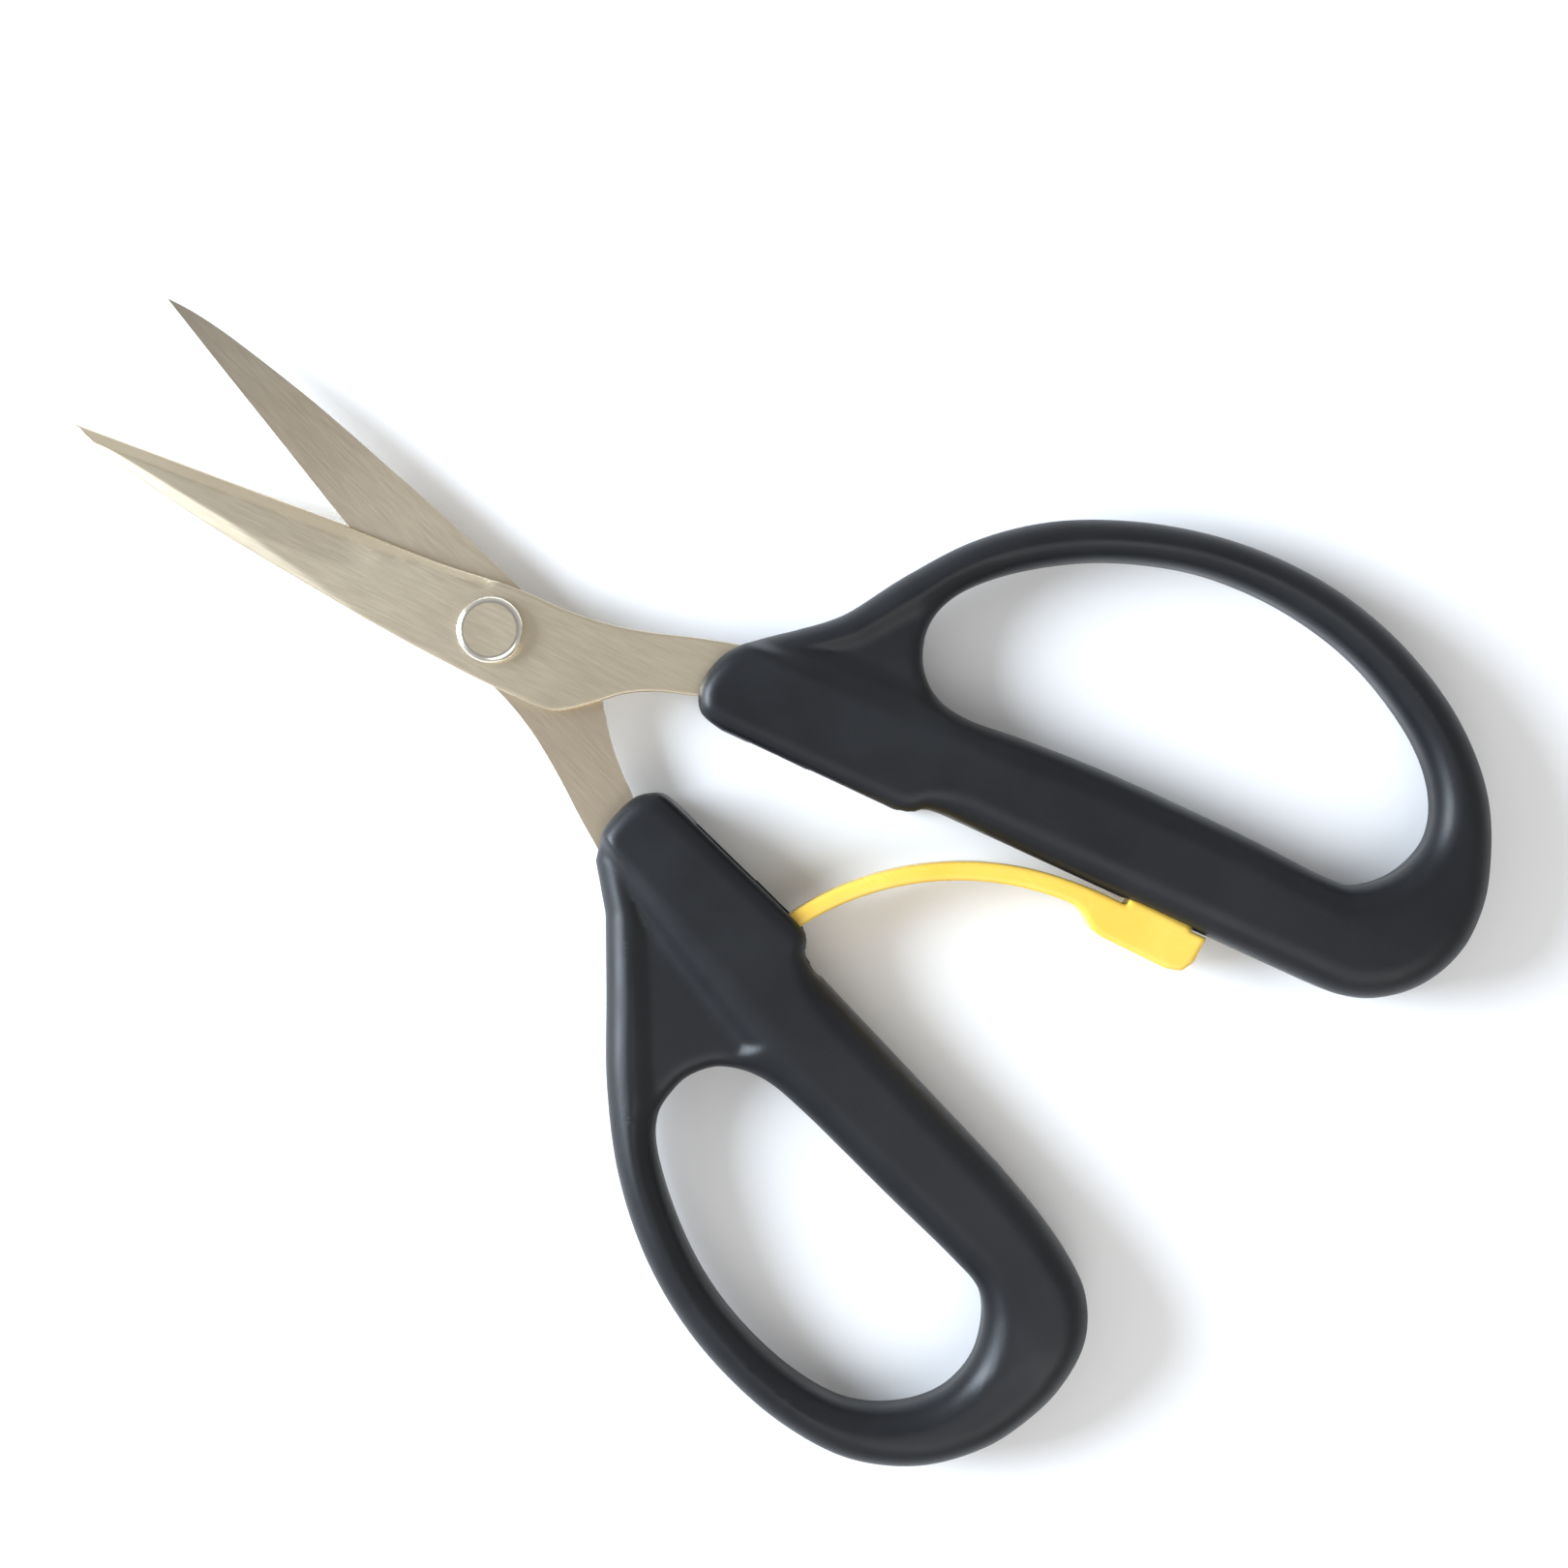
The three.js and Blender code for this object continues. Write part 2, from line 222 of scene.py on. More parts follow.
# Each rim is a nose at the blade, a step in the edge that faces the other handle, and the long way
# round the back. A bar and a web are areas of a handle that are thicker and thinner than its band.
FRONT_NOSE = [
    (-25.6, -11.9), (-23.6, -9.9), (-22.4, -8), (-21.8, -5.6), (-22, -3.6), (-23.2, -1.9), (-25.6, -1.3),
]
FRONT_STEP = [(-45.4, -1.85), (-47, -2.4), (-48.2, -3.3), (-50, -3.6)]
FRONT_BACK = [
    (-91, -4.8), (-94.5, -5.1), (-97.8, -6.3), (-101, -8.9), (-103.2, -12.6), (-104.1, -17),
    (-103.2, -22.7), (-99.5, -30), (-93.5, -35.7), (-86, -39.7), (-78, -42), (-70, -42.6),
    (-62, -41.7), (-54, -39.3), (-46.5, -35.5), (-40.4, -30.3), (-35.6, -23.8), (-31.8, -17.6),
    (-28, -13.9),
]
FRONT_HOLE = [
    (-40.1, -20.9), (-41.1, -16.9), (-43.8, -14.3), (-47.7, -13.5), (-54, -14.25), (-64, -15.05),
    (-78, -15.4), (-88, -15.3), (-91.6, -16.1), (-94.6, -19.2), (-95.8, -23.6), (-94.2, -28),
    (-90, -32.1), (-83, -35.8), (-76, -37.7), (-68.5, -38.2), (-61, -37.2), (-53, -34.2),
    (-46.2, -29.8), (-41.7, -25.2),
]
FRONT_BAR = [
    (-20, -10.6), (-20, 5), (-110, 5), (-110, -14), (-103, -18), (-96, -19), (-91, -16), (-78, -15),
    (-64, -14.6), (-54, -13.9), (-46, -13), (-38, -12), (-29, -10.9),
]
FRONT_WEB = [
    (-27.5, -11.6), (-44, -12.4), (-46, -20), (-47.5, -30.6), (-43, -29), (-38.4, -23.7), (-33.4, -16.6),
    (-29, -13),
]
FRONT_LEAF_SLOT = (-52, -29, -3.1, 1, 3.2)
SPRING_SOCKET = (-78.25, -70.75, -8.65, 1, 2.55)

REAR_NOSE = [
    (-24.4, 8.9), (-22.9, 6.4), (-22.45, 4), (-22.6, 1.4), (-23.6, -0.3), (-24.6, -0.9), (-26, -1.1),
]
REAR_STEP = [(-43.6, -1.6), (-45.2, -1.15), (-46.4, 0.2), (-48.4, 0.75)]
REAR_BACK = [
    (-76, 1.2), (-82, 1.65), (-87.5, 2.55), (-91.5, 4.1), (-94.7, 7.3), (-96.3, 11.8), (-96.6, 16.5),
    (-95.6, 22.3), (-92.3, 28.4), (-87, 33), (-80.5, 35.4), (-73, 36.3), (-65, 35.8), (-57, 33.7),
    (-49, 29.75), (-41.5, 24.05), (-35, 17.75), (-29, 12),
]
REAR_HOLE = [
    (-46.8, 19.4), (-47.6, 22.7), (-50.5, 25.6), (-57, 28.9), (-63.5, 30.95), (-70, 31.65),
    (-76.5, 31.2), (-82, 29.5), (-85.9, 26.2), (-88.2, 21.9), (-88.2, 17.4), (-86.2, 13.7),
    (-83.3, 11.5), (-79, 11.2), (-70, 11.45), (-58, 11.65), (-52.4, 12.3), (-48.7, 14.3),
    (-47.1, 16.9),
]
REAR_BAR = [
    (-20, 6.6), (-20, -6), (-110, -6), (-110, 10), (-97, 14.5), (-91, 15.8), (-86, 13), (-79, 11),
    (-70, 11.1), (-58, 11), (-50, 10), (-38, 8.6), (-28, 7.2),
]
REAR_WEB = [
    (-26.5, 7.6), (-50, 9.4), (-51, 19), (-53, 28), (-48.5, 25.6), (-42.5, 20.6), (-36.5, 15),
    (-31, 10.4),
]
REAR_LEAF_SLOT = (-49, -29, -4, 1, 3.2)
# How far the step from band to bar is spread: near the blade, and how much more along the loop and
# at its end, with where along x each of these grows
SHARP_STEP = 0.7
LOOP_SOFTENING = 1.7
LOOP_START = (-24, -44)
END_SOFTENING = 5
LOOP_END = (-84, -100)
STOP_END = (-52, -46)
WEB_BORDER = (0.5, -2.2)  # distances from the web's edge between which the surface sinks
BAND_EDGE_RADIUS = 2.9
BAR_EDGE_RADIUS = 3.1
STOP_EDGE_RADIUS = 1.9  # on the bar, between the blade and the step where the handles meet
WEB_EDGE_RADIUS = 1.6


def handle_piece(name, rim, hole, bar, web, cuts, place):
    """A closed loop: a thin band, a thick bar beside the other handle, and a sunk web between them."""
    rim_path, hole_path = outline(rim), spline(hole, closed=True)

    def plan_distance(points):
        return np.maximum(signed_distance(points, rim_path), -signed_distance(points, hole_path))

    def height_and_radius(points):
        x = points[:, 0]
        softness = SHARP_STEP + LOOP_SOFTENING * smoothstep(*LOOP_START, x)
        softness = softness + END_SOFTENING * smoothstep(*LOOP_END, x)
        in_bar = smoothstep(1, -1, signed_distance(points, np.array(bar, float)) / softness)
        in_web = smoothstep(*WEB_BORDER, signed_distance(points, np.array(web, float))) * (1 - in_bar)
        at_stop = in_bar * smoothstep(*STOP_END, x)
        height = BAND_HALF_HEIGHT + (BAR_HALF_HEIGHT - BAND_HALF_HEIGHT) * in_bar
        height = height + (WEB_HALF_HEIGHT - height) * in_web
        radius = BAND_EDGE_RADIUS + (BAR_EDGE_RADIUS - BAND_EDGE_RADIUS) * in_bar
        radius = radius + (STOP_EDGE_RADIUS - BAR_EDGE_RADIUS) * at_stop
        radius = radius + (WEB_EDGE_RADIUS - BAND_EDGE_RADIUS) * in_web
        return height, radius

    low = np.append(rim_path.min(axis=0), -BAR_HALF_HEIGHT) - GRID_MARGIN * HANDLE_CELL
    high = np.append(rim_path.max(axis=0), BAR_HALF_HEIGHT) + GRID_MARGIN * HANDLE_CELL
    field = slab_field(low, high, HANDLE_CELL, height_and_radius, plan_distance, cuts)
    return make_object(name, *surface_of(field, low, HANDLE_CELL), place)


# ---- blades ----

SPINE = [(0, 5.1), (10, 4.8), (20, 4.1), (30, 3.3), (40, 2.0), (45, 1.0), (BLADE_LENGTH, 0.05)]
CUTTING_EDGE = [(2.7, -4.65), (8.7, -3.8), (20, -2.9), (30, -1.9), (40, -0.9), (BLADE_LENGTH, -0.05)]
FRONT_HEEL = [
    (-46, -6.8), (-38, -6.8), (-32, -6.6), (-26, -5.4), (-21.8, -3.3), (-18, -1.9), (-15, -0.15),
    (-12.4, 2.3), (-9.9, 4.3), (-8, 4.9), (-5, 5.0),
]
FRONT_TANG = [
    (-46, -11.6), (-38, -11.8), (-34, -11.9), (-29, -11.6), (-25.5, -10.6), (-20, -8.95), (-13, -6.55),
    (-7, -5.4), (-1.5, -5.1),
]
REAR_HEEL = [
    (-46, -5.3), (-38, -5.1), (-32, -4.8), (-26, -3.8), (-22.1, -1.6), (-20, -0.85), (-17, 0.5),
    (-14, 2.35), (-11, 4.3), (-8, 5.0), (-5, 5.1),
]
REAR_TANG = [
    (-46, -10.2), (-38, -10.2), (-33, -10.1), (-28, -9.3), (-23.7, -8), (-20, -7), (-15, -5.5),
    (-10, -4.35), (-5, -3.95), (0, -4.4),
]
RIVET_HOLE = 2.1
# A ground facet: two points of the line it starts from, its height there, and its slope in degrees
HOLLOW_FACET = ((9, -4.2), (49, -0.25), 1.4, 6)
CUTTING_BEVEL = ((2, -4.75), (49, -0.25), 0.4, 38)
BACK_FACET = ((49, 0.2), (22, 4.6), 1.45, 15)
FACETS = (HOLLOW_FACET, CUTTING_BEVEL, BACK_FACET)
EDGE_BREAK = 0.16
TANG_END = -46
STATION_STEP = 0.4
FINE_FROM = 46  # from here to the tip the stations lie closer
FINE_STATIONS = 12
POINTS_ACROSS = 26
THINNEST = 0.08
# The facets are raised, to fade them out, between these places along the blade: first a little, on a
# slant, and then past the blade's own top at the pivot
FADE_RISE = 0.6
FADE_ALONG = (19, 7)
FADE_SLANT = 0.5
PIVOT_RISE = 8
PIVOT_ALONG = (3, -3)


def above_line(x, y, facet):
    """Height of a ground facet that rises to the left of a line."""
    (x0, y0), (x1, y1), height, slope = facet
    run = math.hypot(x1 - x0, y1 - y0)
    return height + math.tan(math.radians(slope)) * ((x1 - x0) * (y - y0) - (y1 - y0) * (x - x0)) / run


def ground_height(x, y):
    """Height of the facets, which run out before the pivot and leave the tang at full thickness."""
    height = np.minimum.reduce([above_line(x, y, facet) for facet in FACETS])
    height = height + FADE_RISE * smoothstep(*FADE_ALONG, x + FADE_SLANT * (y + 3))
    return height + PIVOT_RISE * smoothstep(*PIVOT_ALONG, x)


def blade_piece(name, heel, tang, flip, place):
    """A strip of cross-sections from the tang's end to the tip, flat underneath and ground on top."""
    upper, lower = spline(heel + SPINE), spline(tang + CUTTING_EDGE)
    stations = np.concatenate(
        [np.arange(TANG_END, FINE_FROM, STATION_STEP), np.linspace(FINE_FROM, BLADE_LENGTH, FINE_STATIONS)]
    )
    edge = np.array([0, 0.25, 0.6, 1.0]) * EDGE_BREAK
    top = RUNNING_GAP + BLADE_THICKNESS
    sections = []
    for x in stations:
        y0 = np.interp(x, lower[:, 0], lower[:, 1])
        y1 = np.interp(x, upper[:, 0], upper[:, 1])
        width = y1 - y0
        inset = edge * min(1, width / (3 * EDGE_BREAK))
        middle = np.linspace(inset[-1], width - inset[-1], POINTS_ACROSS)[1:-1]
        across = np.concatenate([inset, middle, (width - inset)[::-1]])
        y = y0 + across
        near = np.minimum(across, width - across) / max(inset[-1], 1e-6)
        break_drop = EDGE_BREAK * (1 - np.sqrt(1 - (1 - np.clip(near, 0, 1)) ** 2))
        limit = np.minimum(top, ground_height(x, y))
        z = np.maximum(limit - break_drop, RUNNING_GAP + THINNEST)
        bottom = np.full_like(y, RUNNING_GAP)
        sections.append(
            np.column_stack(
                [np.full(2 * len(y), x), np.concatenate([y, y[::-1]]), np.concatenate([z, bottom])]
            )
        )
    around = len(sections[0])
    vertices = np.vstack(sections)
    if flip:
        vertices[:, 1:] *= -1
    faces = []
    for i in range(len(sections) - 1):
        for j in range(around):
            k = (j + 1) % around
            faces.append((i * around + j, i * around + k, (i + 1) * around + k, (i + 1) * around + j))
    last = (len(sections) - 1) * around
    half = around // 2
    for j in range(half - 1):
        faces.append((j, around - 1 - j, around - 2 - j, j + 1))
        faces.append((last + j, last + j + 1, last + around - 2 - j, last + around - 1 - j))
    blade = make_object(name, vertices, faces, place)
    drill = [(0, -9), (RIVET_HOLE, -9), (RIVET_HOLE, 9), (0, 9)]
    cutter = turned_piece("rivet_hole_cutter", drill, place)
    hole = blade.modifiers.new("rivet hole", "BOOLEAN")
    hole.object = cutter
    hole.operation = "DIFFERENCE"
    hole.solver = "EXACT"
    apply_modifiers(blade)
    bpy.data.objects.remove(cutter)
    keep_edges_sharp(blade, 25)
    return blade


def keep_edges_sharp(obj, degrees):
    """Marks the edges where faces meet at more than an angle, so that they shade sharp."""
    obj.data.shade_smooth()
    obj.data.set_sharp_from_angle(angle=math.radians(degrees))


def apply_modifiers(obj):
    evaluated = obj.evaluated_get(bpy.context.evaluated_depsgraph_get())
    mesh = bpy.data.meshes.new_from_object(evaluated)
    obj.modifiers.clear()
    obj.data = mesh


# ---- turned pieces ----

def turned_piece(name, profile, place, sides=96):
    """A profile of (radius, height), from the bottom up, turned about the pivot's axis.

    It either starts and ends on the axis or closes on itself clear of it.
    """
    rings = [p for p in profile if p[0] > 0]
    angles = np.arange(sides) * 2 * math.pi / sides
    vertices = [(r * math.cos(a), r * math.sin(a), z) for r, z in rings for a in angles]
    faces = []
    for i in range(len(rings) - 1):
        for j in range(sides):
            k = (j + 1) % sides
            faces.append((i * sides + j, i * sides + k, (i + 1) * sides + k, (i + 1) * sides + j))
    last = (len(rings) - 1) * sides
    clear_of_axis = profile[0][0] > 0
    foot = len(vertices)
    if not clear_of_axis:
        vertices += [(0, 0, profile[0][1]), (0, 0, profile[-1][1])]
    for j in range(sides):
        k = (j + 1) % sides
        if clear_of_axis:
            faces.append((last + j, last + k, k, j))
        else:
            faces.append((foot, k, j))
            faces.append((foot + 1, last + j, last + k))
    return make_object(name, vertices, faces, place)


HEAD_LOW = BLADE_THICKNESS + 2 * RUNNING_GAP
HEAD_HEIGHT = 1.6
HEAD_FLAT = 2.72
SHANK_RADIUS = 2.0
WASHER_TOP = -HEAD_LOW
WASHER_BOTTOM = WASHER_TOP - 0.7
WASHER_EDGE = 3.45
WASHER_CORNER = 0.15


def arc(centre, radius, start, end, steps):
    """Points of a round corner in a profile, from one angle to another in degrees."""
    turns = np.radians(np.linspace(start, end, steps))
    return [(centre[0] + radius * math.cos(t), centre[1] + radius * math.sin(t)) for t in turns]


def rivet_piece(place):
    """A peened tail below, the shank, and a head with a rounded rim and a slightly dished flat top.

    Everything within the flat top's radius takes the second material, and the rim takes the first.
    """
    tail = [(0, WASHER_BOTTOM - 0.9), *arc((1.9, WASHER_BOTTOM - 0.1), 0.8, -90, 0, 8)]
    shank = [(SHANK_RADIUS, WASHER_BOTTOM - 0.05), (SHANK_RADIUS, HEAD_LOW)]
    low_rim = [(3.3, HEAD_LOW), *arc((3.3, HEAD_LOW + 0.15), 0.15, -80, 0, 4)]
    high_rim = arc((2.8, HEAD_LOW + 0.95), 0.65, 0, 86, 14)
    head_top = HEAD_LOW + HEAD_HEIGHT
    dish = [(HEAD_FLAT, head_top), (2.5, head_top - 0.01), (1.2, head_top - 0.05), (0, head_top - 0.07)]
    rivet = turned_piece("rivet", tail + shank + low_rim + high_rim + dish, place)
    keep_edges_sharp(rivet, 40)
    for face in rivet.data.polygons:
        away = (face.center - PIVOT).xy.length
        face.material_index = 1 if away < HEAD_FLAT * MM else 0
    return rivet


def washer_piece(place):
    low_corner = arc((WASHER_EDGE, WASHER_BOTTOM + WASHER_CORNER), WASHER_CORNER, -90, 0, 5)
    high_corner = arc((WASHER_EDGE, WASHER_TOP - WASHER_CORNER), WASHER_CORNER, 0, 90, 5)
    profile = [(RIVET_HOLE, WASHER_BOTTOM), *low_corner, *high_corner, (RIVET_HOLE, WASHER_TOP)]
    washer = turned_piece("washer", profile, place)
    keep_edges_sharp(washer, 40)
    return washer


# ---- spring ----

LEAF_ROOT = (-66.0, -2.4)
LEAF_RADIUS = 31.0
LEAF_START = math.radians(3.5)
LEAF_TURN = math.radians(56)
BLOCK = [
    (-66.4, -3.0), (-66.6, -1.6), (-67.3, -1.0), (-67.9, -0.5), (-68.8, 0.15), (-70, 0.4), (-77.4, 0.4),
    (-79, -0.1), (-79.7, -1.4), (-79.8, -4.25), (-78, -4.15), (-78, -8.4), (-71, -8.4), (-71, -3.5),
]
PLUG_TOP = -4.5
PLUG_HALF_WIDTH = 2.3
SPRING_EDGE_RADIUS = 0.42
LEAF_OVERRUN = 0.17  # how far round its arc the leaf runs back into the block, in radians
ROOT_THICKENING = 1.03
TIP_THINNING = 0.81
FILLET = 0.9  # where the leaf meets the block
# The sampled box starts here and ends past the leaf's tip. Its heights aren't whole steps from the
# spring's flat sides, so that neither side lies on the grid.
SPRING_BOX_LOW = (-81.0, -9.3, -3.45)
SPRING_BOX_TOP = 3.4
PAST_TIP = 2.5


def leaf_point(turn):
    """The point of the leaf's centre line that far round its arc."""
    angle = LEAF_START + turn
    return (
        LEAF_ROOT[0] + LEAF_RADIUS * (math.sin(angle) - math.sin(LEAF_START)),
        LEAF_ROOT[1] + LEAF_RADIUS * (math.cos(LEAF_START) - math.cos(angle)),
    )


def spring_piece(name, place):
    """One moulding: the leaf, which thins a little to its tip, the block, and the plug in the handle."""
    centre_x = LEAF_ROOT[0] - LEAF_RADIUS * math.sin(LEAF_START)
    centre_y = LEAF_ROOT[1] + LEAF_RADIUS * math.cos(LEAF_START)
    tip = leaf_point(LEAF_TURN)
    block = np.array(BLOCK, float)

    def plan_distance(points):
        x, y = points.T
        away_x, away_y = x - centre_x, centre_y - y
        turn = np.arctan2(away_x, away_y) - LEAF_START
        taper = ROOT_THICKENING - (ROOT_THICKENING - TIP_THINNING) * np.clip(turn / LEAF_TURN, 0, 1)
        leaf = np.abs(np.hypot(away_x, away_y) - LEAF_RADIUS) - LEAF_THICKNESS / 2 * taper
        leaf = np.where((turn < -LEAF_OVERRUN) | (turn > LEAF_TURN), np.maximum(leaf, 1.0), leaf)
        round_end = np.hypot(x - tip[0], y - tip[1]) - LEAF_THICKNESS / 2 * TIP_THINNING
        leaf = np.minimum(leaf, round_end)
        solid = signed_distance(points, block)
        blend = np.clip(0.5 + 0.5 * (solid - leaf) / FILLET, 0, 1)
        return solid + (leaf - solid) * blend - FILLET * blend * (1 - blend)

    def height_and_radius(points):
        in_plug = smoothstep(PLUG_TOP + 0.2, PLUG_TOP - 0.1, points[:, 1])
        return SPRING_HALF_WIDTH + (PLUG_HALF_WIDTH - SPRING_HALF_WIDTH) * in_plug, SPRING_EDGE_RADIUS

    low = np.array(SPRING_BOX_LOW)
    high = np.array([tip[0] + PAST_TIP, tip[1] + PAST_TIP, SPRING_BOX_TOP])
    field = slab_field(low, high, SPRING_CELL, height_and_radius, plan_distance)
    return make_object(name, *surface_of(field, low, SPRING_CELL), place)


# ---- materials ----

def new_material(name, colour, metallic, roughness):
    """A new material, with the nodes, links and shader that the caller adds to."""
    material = bpy.data.materials.new(name)
    material.use_nodes = True
    nodes = material.node_tree.nodes
    shader = nodes["Principled BSDF"]
    shader.inputs["Base Color"].default_value = (*colour, 1)
    shader.inputs["Metallic"].default_value = metallic
    shader.inputs["Roughness"].default_value = roughness
    return material, nodes, material.node_tree.links, shader


def noise(nodes, links, scale, stretch=(1, 1, 1), turn=0.0, detail=3.0):
    """A noise over the object, in features of about 1 / scale metres, stretched and turned about Z."""
    place = nodes.new("ShaderNodeTexCoord")
    mapping = nodes.new("ShaderNodeMapping")
    mapping.vector_type = "TEXTURE"
    mapping.inputs["Scale"].default_value = stretch
    mapping.inputs["Rotation"].default_value = (0, 0, turn)
    texture = nodes.new("ShaderNodeTexNoise")
    texture.inputs["Scale"].default_value = scale
    texture.inputs["Detail"].default_value = detail
    links.new(place.outputs["Object"], mapping.inputs["Vector"])
    links.new(mapping.outputs["Vector"], texture.inputs["Vector"])
    return texture.outputs["Fac"]


def ramp(nodes, links, value, stops):
    """Colours or greys read off a value between stops of (position, colour)."""
    node = nodes.new("ShaderNodeValToRGB")
    elements = node.color_ramp.elements
    for element, (position, colour) in zip(elements, (stops[0], stops[-1])):
        element.position = position
        element.color = (*colour, 1)
    for position, colour in stops[1:-1]:
        elements.new(position).color = (*colour, 1)
    links.new(value, node.inputs["Fac"])
    return node.outputs["Color"]


def grey(value):
    return (value, value, value)


def bump(nodes, links, shader, height, distance, strength):
    """Tilts the shading by a height texture of that depth in metres."""
    node = nodes.new("ShaderNodeBump")
    node.inputs["Distance"].default_value = distance
    node.inputs["Strength"].default_value = strength
    links.new(height, node.inputs["Height"])
    links.new(node.outputs["Normal"], shader.inputs["Normal"])


def black_plastic():
    """Satin black moulding: a fine spark-eroded grain, cloudy gloss and a faintly uneven tone."""
    material, nodes, links, shader = new_material("black_plastic", (0.01, 0.011, 0.014), 0, 0.42)
    shader.inputs["Specular IOR Level"].default_value = 0.32
    tone = ramp(nodes, links, noise(nodes, links, 90),
                [(0.3, (0.0055, 0.006, 0.008)), (0.7, (0.010, 0.011, 0.013))])
    links.new(tone, shader.inputs["Base Color"])
    cloudy = ramp(nodes, links, noise(nodes, links, 140), [(0.3, grey(0.36)), (0.7, grey(0.47))])
    links.new(cloudy, shader.inputs["Roughness"])
    bump(nodes, links, shader, noise(nodes, links, 2600, detail=2), 0.00003, 0.35)
    return material


def ground_steel(name, turn, colour_low, colour_high, tip_painted_shade):
    """Satin steel with a fine grain along the blade, a faintly cloudy tone and painted shade that darkens it
    towards the tip.
    """
    material, nodes, links, shader = new_material(name, colour_high, 1, 0.34)
    tone = ramp(nodes, links, noise(nodes, links, 45), [(0.3, colour_low), (0.7, colour_high)])
    # Painted shade: the base colour is multiplied darker from the pivot towards the tip, in place of the
    # darker reflection there.
    place = nodes.new("ShaderNodeTexCoord")
    split = nodes.new("ShaderNodeSeparateXYZ")
    links.new(place.outputs["Object"], split.inputs["Vector"])
    reach = nodes.new("ShaderNodeMapRange")
    reach.inputs["From Min"].default_value = PIVOT.x
    reach.inputs["From Max"].default_value = PIVOT.x + BLADE_LENGTH * MM
    links.new(split.outputs["X"], reach.inputs["Value"])
    painted_tip_shade = ramp(nodes, links, reach.outputs["Result"], [(0.35, grey(1.0)), (1.0, grey(tip_painted_shade))])
    mix = nodes.new("ShaderNodeMix")
    mix.data_type = "RGBA"
    mix.blend_type = "MULTIPLY"
    mix.inputs["Factor"].default_value = 1
    links.new(tone, mix.inputs["A"])
    links.new(painted_tip_shade, mix.inputs["B"])
    links.new(mix.outputs["Result"], shader.inputs["Base Color"])
    grain = noise(nodes, links, 5000, stretch=(16, 1, 1), turn=turn)
    uneven = ramp(nodes, links, grain, [(0.25, grey(0.32)), (0.75, grey(0.38))])
    links.new(uneven, shader.inputs["Roughness"])
    bump(nodes, links, shader, grain, 0.000006, 0.2)
    return material


def polished_steel():
    """Bright steel with a slightly uneven polish."""
    material, nodes, links, shader = new_material("polished_steel", (0.74, 0.7, 0.62), 1, 0.16)
    rough = ramp(nodes, links, noise(nodes, links, 700), [(0.3, grey(0.13)), (0.75, grey(0.26))])
    links.new(rough, shader.inputs["Roughness"])
    bump(nodes, links, shader, noise(nodes, links, 1500), 0.00002, 0.2)
    return material


def yellow_plastic():
    """Slightly translucent yellow moulding, glossy with faint flow marks."""
    material, nodes, links, shader = new_material("yellow_plastic", (0.84, 0.55, 0.08), 0, 0.3)
    shader.inputs["Subsurface Weight"].default_value = 0.15
    shader.inputs["Subsurface Radius"].default_value = (0.002, 0.0012, 0.0003)
    tone = ramp(nodes, links, noise(nodes, links, 130),
                [(0.3, (0.78, 0.49, 0.06)), (0.7, (0.85, 0.58, 0.1))])
    links.new(tone, shader.inputs["Base Color"])
    flow = noise(nodes, links, 420, stretch=(3, 1, 1))
    streaks = ramp(nodes, links, flow, [(0.3, grey(0.24)), (0.7, grey(0.36))])
    links.new(streaks, shader.inputs["Roughness"])
    bump(nodes, links, shader, flow, 0.00003, 0.25)
    return material


def finish(piece, materials, nodes, body=None):
    """Gives a piece its materials, hides the CAD nodes that it stands in for, and attaches it to its body's
    empty if a body is given.
    """
    for material in materials:
        piece.data.materials.append(material)
    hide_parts(*nodes)
    if body:
        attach(piece, body)


# ---- the snips ----

def build_snips():
    black = black_plastic()
    polished = polished_steel()
    # The rear blade's steel is a darker copy of the front blade's, with stronger painted shade at its tip:
    # painted shade for the darker reflection of that blade.
    front_steel = ground_steel("front_steel", HALF_OPENING, (0.66, 0.57, 0.42), (0.73, 0.64, 0.48), 0.9)
    rear_steel = ground_steel("rear_steel", -HALF_OPENING, (0.58, 0.48, 0.355), (0.67, 0.57, 0.43), 0.5)

    front_rim = [FRONT_NOSE, FRONT_STEP, FRONT_BACK]
    front_cuts = [FRONT_LEAF_SLOT, SPRING_SOCKET]
    front_handle = handle_piece(
        "large_handle", front_rim, FRONT_HOLE, FRONT_BAR, FRONT_WEB, front_cuts, FRONT_PLACE
    )
    rear_rim = [REAR_NOSE, REAR_STEP, REAR_BACK]
    rear_cuts = [REAR_LEAF_SLOT]
    rear_handle = handle_piece(
        "small_handle", rear_rim, REAR_HOLE, REAR_BAR, REAR_WEB, rear_cuts, REAR_PLACE
    )
    finish(front_handle, [black], ["front_handle"], "front_half")
    finish(rear_handle, [black], ["rear_handle"], "rear_half")

    front_blade = blade_piece("upper_blade", FRONT_HEEL, FRONT_TANG, False, FRONT_PLACE)
    rear_blade = blade_piece("lower_blade", REAR_HEEL, REAR_TANG, True, REAR_PLACE)
    finish(front_blade, [front_steel], ["front_blade"], "front_half")
    finish(rear_blade, [rear_steel], ["rear_blade"], "rear_half")

    rivet = rivet_piece(FRONT_PLACE)
    finish(rivet, [polished, front_steel], ["pivot_rivet"], "front_half")
    washer = washer_piece(FRONT_PLACE)
    finish(washer, [polished], ["rivet_washer"], "front_half")

    spring = spring_piece("spring", FRONT_PLACE)
    finish(spring, [yellow_plastic()], ["spring_foot", "spring_leaf"])
    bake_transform(spring)


# ---- stage ----

FLOOR_REACH = 3.0
FLOOR_DROP = 0.0002  # below the handles, so that no face lies in the floor's plane


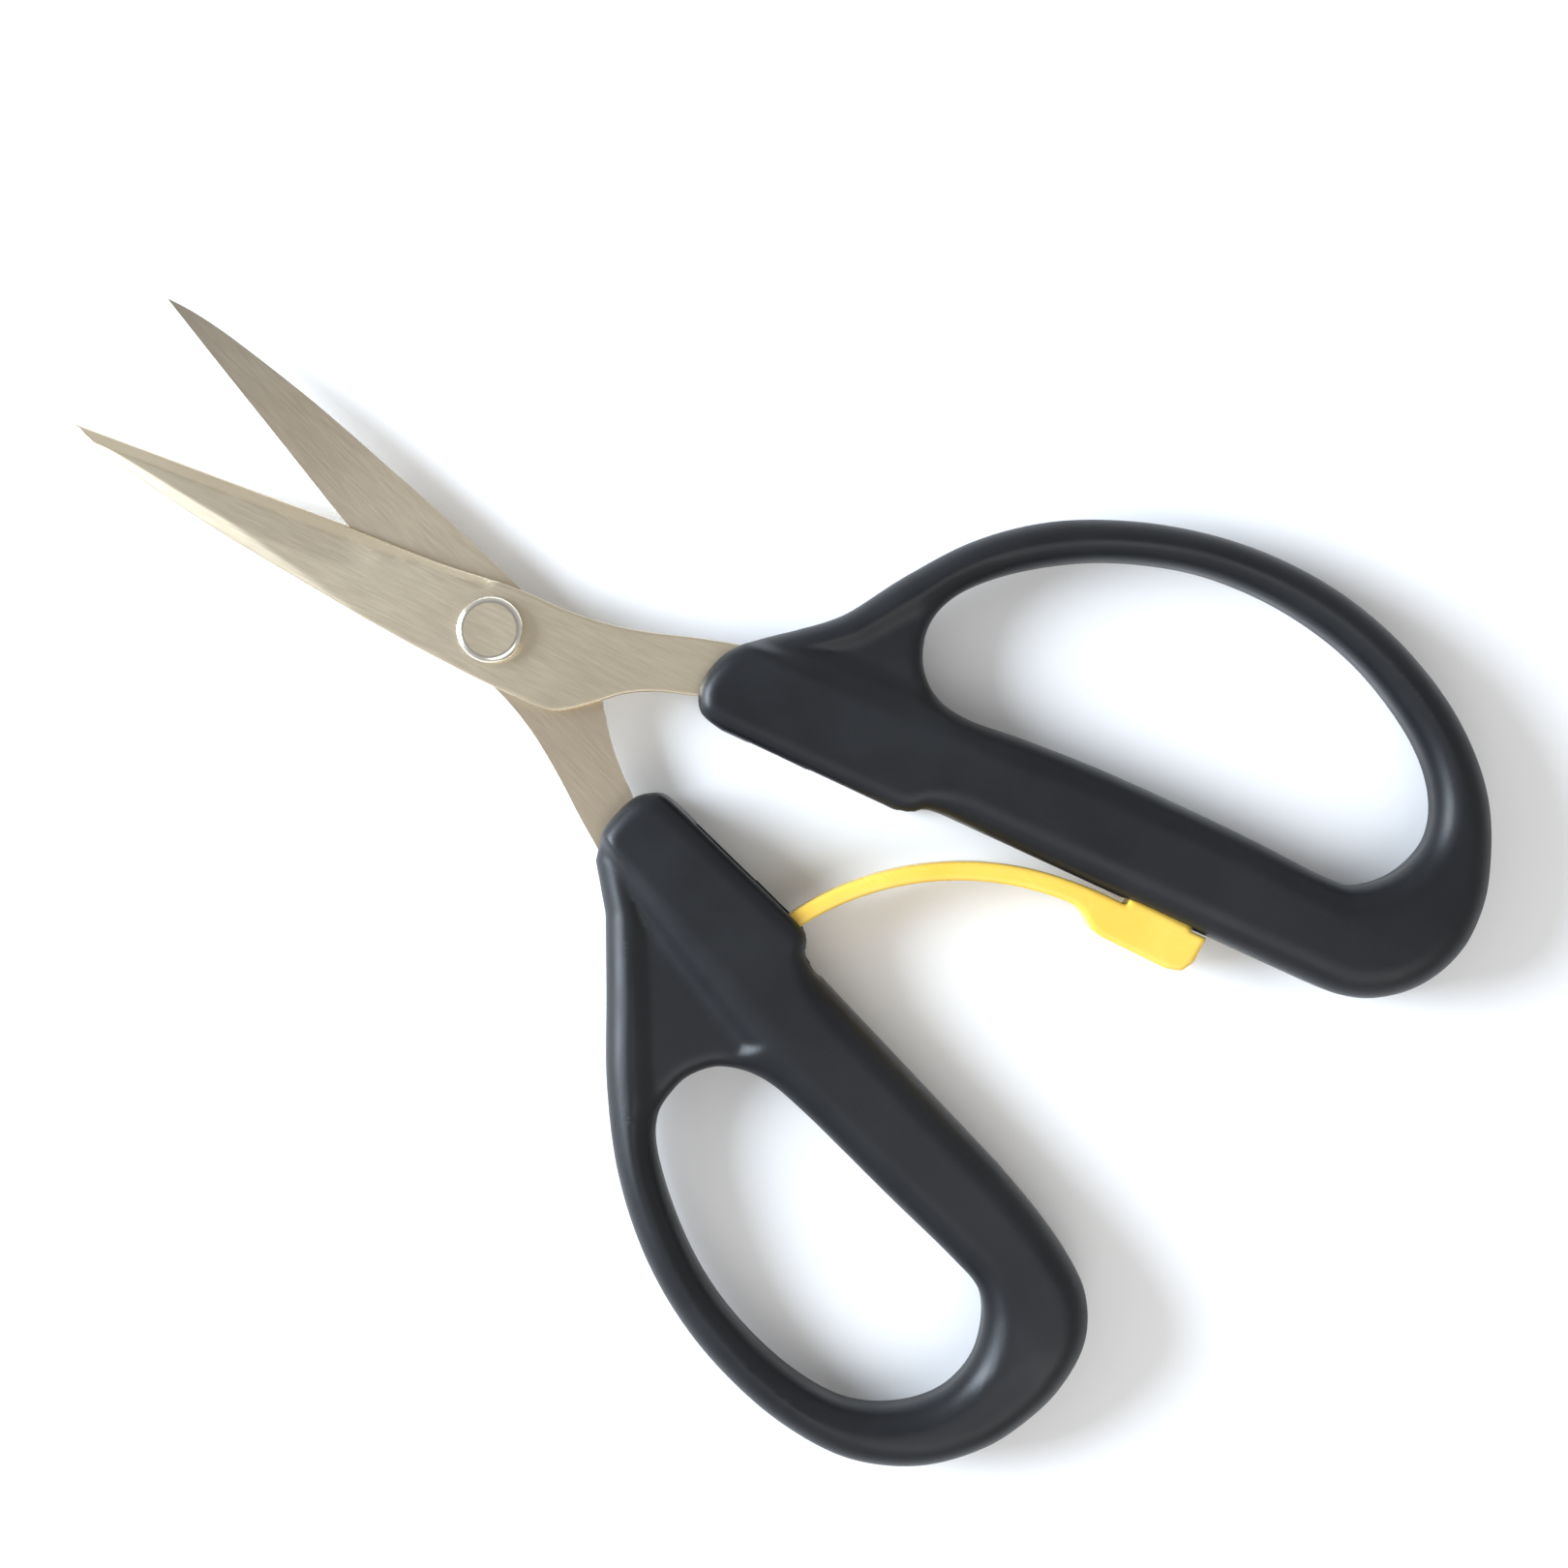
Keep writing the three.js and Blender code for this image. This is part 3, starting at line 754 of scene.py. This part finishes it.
def pale_floor():
    corners = [(FLOOR_REACH * x, FLOOR_REACH * y, 0) for x, y in ((-1, -1), (1, -1), (1, 1), (-1, 1))]
    mesh = bpy.data.meshes.new("floor")
    mesh.from_pydata(corners, [], [(0, 1, 2, 3)])
    floor = bpy.data.objects.new("floor", mesh)
    floor.location.z = cad_box[0].z - FLOOR_DROP
    bpy.context.scene.collection.objects.link(floor)
    material = new_material("floor", grey(0.93), 0, 0.9)[0]
    mesh.materials.append(material)


def area_light(name, place, aim, size, power, colour=(1, 1, 1)):
    data = bpy.data.lights.new(name, "AREA")
    data.shape = "DISK"
    data.size = size
    data.energy = power
    data.color = colour
    light = bpy.data.objects.new(name, data)
    light.location = place
    light.rotation_mode = "QUATERNION"
    light.rotation_quaternion = (Vector(aim) - Vector(place)).to_track_quat("-Z", "Y")
    bpy.context.scene.collection.objects.link(light)


def lights():
    """A cool window light from one side, a weak fill from the other, and a dome that is brighter low down."""
    centre = (cad_box[0] + cad_box[1]) / 2
    cool = (0.78, 0.88, 1.0)
    area_light("window", centre + Vector((0.4, 0.22, 0.24)), centre, size=0.36, power=7.0, colour=cool)
    area_light("fill", centre + Vector((-0.3, 0.2, 0.5)), centre, size=0.5, power=1.2)
    world = bpy.data.worlds.new("studio")
    world.use_nodes = True
    nodes, links = world.node_tree.nodes, world.node_tree.links
    place = nodes.new("ShaderNodeTexCoord")
    split = nodes.new("ShaderNodeSeparateXYZ")
    links.new(place.outputs["Generated"], split.inputs["Vector"])
    dome = ramp(nodes, links, split.outputs["Z"], [(0.0, grey(1.0)), (0.6, grey(0.8)), (1.0, grey(0.5))])
    links.new(dome, nodes["Background"].inputs["Color"])
    nodes["Background"].inputs["Strength"].default_value = 0.75
    bpy.context.scene.world = world
    bpy.context.scene.view_settings.view_transform = "Standard"


# The camera looks straight down. CAMERA_AIM is from the pivot to where its axis passes, CAMERA_TURN is
# from +Y to its up direction, and CAMERA_FIELD is the width that it sees at the pivot's height.
CAMERA_HEIGHT = 0.3
CAMERA_FIELD = 0.162
CAMERA_AIM = Vector((-0.0336, -0.0049, 0))
CAMERA_TURN = math.radians(-144)


def camera():
    data = bpy.data.cameras.new("camera")
    data.sensor_width = 36
    data.lens = data.sensor_width * CAMERA_HEIGHT / CAMERA_FIELD
    data.clip_start = 0.01
    obj = bpy.data.objects.new("camera", data)
    obj.location = PIVOT + CAMERA_AIM + Vector((0, 0, CAMERA_HEIGHT))
    obj.rotation_euler = (0, 0, CAMERA_TURN)
    bpy.context.scene.collection.objects.link(obj)
    bpy.context.scene.camera = obj


build_snips()
pale_floor()
lights()
camera()
